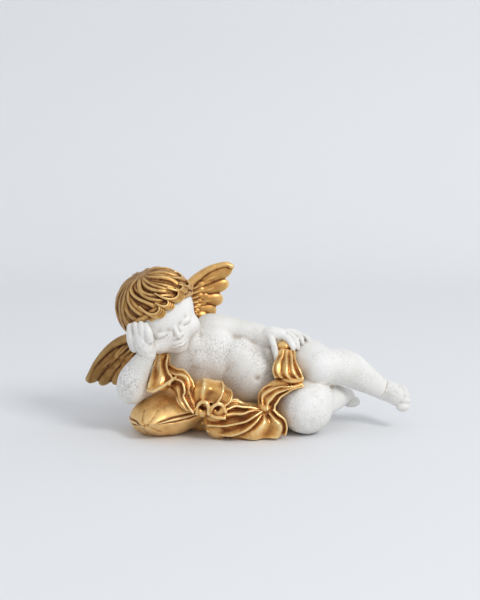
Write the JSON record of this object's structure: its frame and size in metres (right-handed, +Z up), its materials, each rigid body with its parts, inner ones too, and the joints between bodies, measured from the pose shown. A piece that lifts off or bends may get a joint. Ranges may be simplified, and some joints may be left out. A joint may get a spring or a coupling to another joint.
{
  "type": "sleeping angel statue",
  "caption": "Small cast figure of a winged child asleep on its side, head on hand, on a cushion and draped cloth, with a flat underside.",
  "frame": {"origin": "middle of the bounding box at the flat underside", "axes": "+X from the head to the feet, +Y from the front of the figure to its back, +Z up"},
  "size_m": [0.2838, 0.1014, 0.141],
  "materials": {
    "painted_cast": "matt ivory paint with a fine crackle, and satin gilding on hair, wings, cloth and cushion"
  },
  "bodies": {
    "root": {"angel_statue": "painted_cast"}
  },
  "joints": []
}
